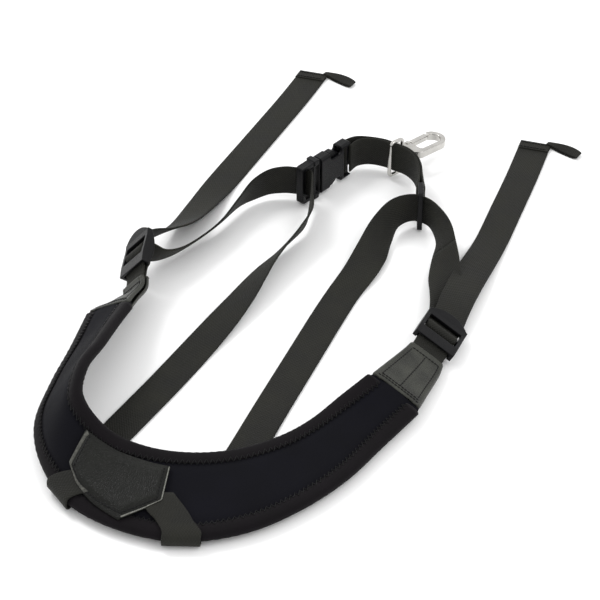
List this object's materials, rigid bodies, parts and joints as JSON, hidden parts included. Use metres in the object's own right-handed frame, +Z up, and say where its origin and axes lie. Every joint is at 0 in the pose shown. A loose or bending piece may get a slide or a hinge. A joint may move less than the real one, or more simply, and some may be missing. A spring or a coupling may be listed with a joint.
{
  "type": "saxophone harness",
  "caption": "Double-shoulder instrument harness with padded neck crescent, adjustable webbing straps, quick-release buckle and swivel snap hook.",
  "frame": {"origin": "centre of the harness's outline, on the surface that it lies on", "axes": "+Z up off the surface, +Y from the neck pad towards the hook and the free ends, +X to the right"},
  "size_m": [0.4066, 0.5752, 0.0533],
  "materials": {
    "neoprene": "knit-faced foam",
    "binding": "folded tape",
    "leather": "soft satin",
    "webbing": "plain weave",
    "tape": "narrow tape",
    "black_plastic": "moulded matte",
    "nickel": "polished nickel",
    "spring_steel": "bright wire"
  },
  "bodies": {
    "harness": {"neck_pad": "neoprene", "outer_binding": "binding", "inner_binding": "binding", "back_patch": "leather", "left_tab_front": "leather", "left_tab_back": "leather", "right_tab_front": "leather", "right_tab_back": "leather", "left_anchor_webbing": "webbing", "right_anchor_webbing": "webbing", "left_strap": "webbing", "right_strap": "webbing", "left_pull_loop": "tape", "right_pull_loop": "tape", "buckle_receptacle": "black_plastic", "crossbar_webbing": "webbing"},
    "left_lock": {"left_ladder_lock": "black_plastic"},
    "right_lock": {"right_ladder_lock": "black_plastic"},
    "latch": {"buckle_latch": "black_plastic"},
    "upper_prong": {"upper_prong": "black_plastic"},
    "lower_prong": {"lower_prong": "black_plastic"},
    "loop": {"strap_loop": "black_plastic"},
    "ring": {"hook_ring": "nickel"},
    "hook": {"swivel_post": "nickel", "hook_body": "nickel", "gate_spring": "spring_steel", "gate_pin": "nickel"},
    "gate": {"hook_gate": "nickel"}
  },
  "joints": [
    {"name": "left_lock_tilt", "type": "hinge", "parent": "harness", "child": "left_lock", "pos_m": [-0.1417, -0.01863, 0.02174], "axis": [0.5593, -0.3096, 0.769], "range_deg": [0, 25], "deforming": ["left_strap"]},
    {"name": "right_lock_tilt", "type": "hinge", "parent": "harness", "child": "right_lock", "pos_m": [0.06965, -0.09527, 0.01238], "axis": [0.8009, -0.3704, -0.4705], "range_deg": [0, 25], "deforming": ["right_strap"]},
    {"name": "latch_release", "type": "slide", "parent": "harness", "child": "latch", "axis": [-0.667, -0.745, 0], "range_m": [0, 0.028], "deforming": ["left_strap", "upper_prong", "lower_prong"]},
    {"name": "upper_prong_squeeze", "type": "hinge", "parent": "latch", "child": "upper_prong", "pos_m": [-0.01038, 0.10665, 0.02768], "axis": [-0.745, 0.667, 0], "range_deg": [0, 9], "stiffness_Nm_per_rad": 0.15},
    {"name": "lower_prong_squeeze", "type": "hinge", "parent": "latch", "child": "lower_prong", "pos_m": [-0.01038, 0.10665, 0.00868], "axis": [0.745, -0.667, 0], "range_deg": [0, 9], "stiffness_Nm_per_rad": 0.15},
    {"name": "loop_pivot", "type": "hinge", "parent": "harness", "child": "loop", "pos_m": [0.06835, 0.07137, 0.01818], "axis": [0, 0, 1], "range_deg": [-20, 20], "deforming": ["right_strap"]},
    {"name": "ring_slide", "type": "slide", "parent": "harness", "child": "ring", "axis": [0.8211, -0.5708, 0], "range_m": [-0.008, 0.008]},
    {"name": "hook_swivel", "type": "hinge", "parent": "ring", "child": "hook", "pos_m": [0.05185, 0.13137, 0.01818], "axis": [0.74, 0.67, -0.06], "continuous": true},
    {"name": "gate_hinge", "type": "hinge", "parent": "hook", "child": "gate", "pos_m": [0.06175, 0.1487, 0.01704], "axis": [-0.0445, -0.0403, -0.9982], "range_deg": [0, 22], "stiffness_Nm_per_rad": 0.02, "springref_deg": -20.05}
  ],
  "couplings": [
    {"joint": "lower_prong_squeeze", "follows": "upper_prong_squeeze", "ratio": 1}
  ]
}
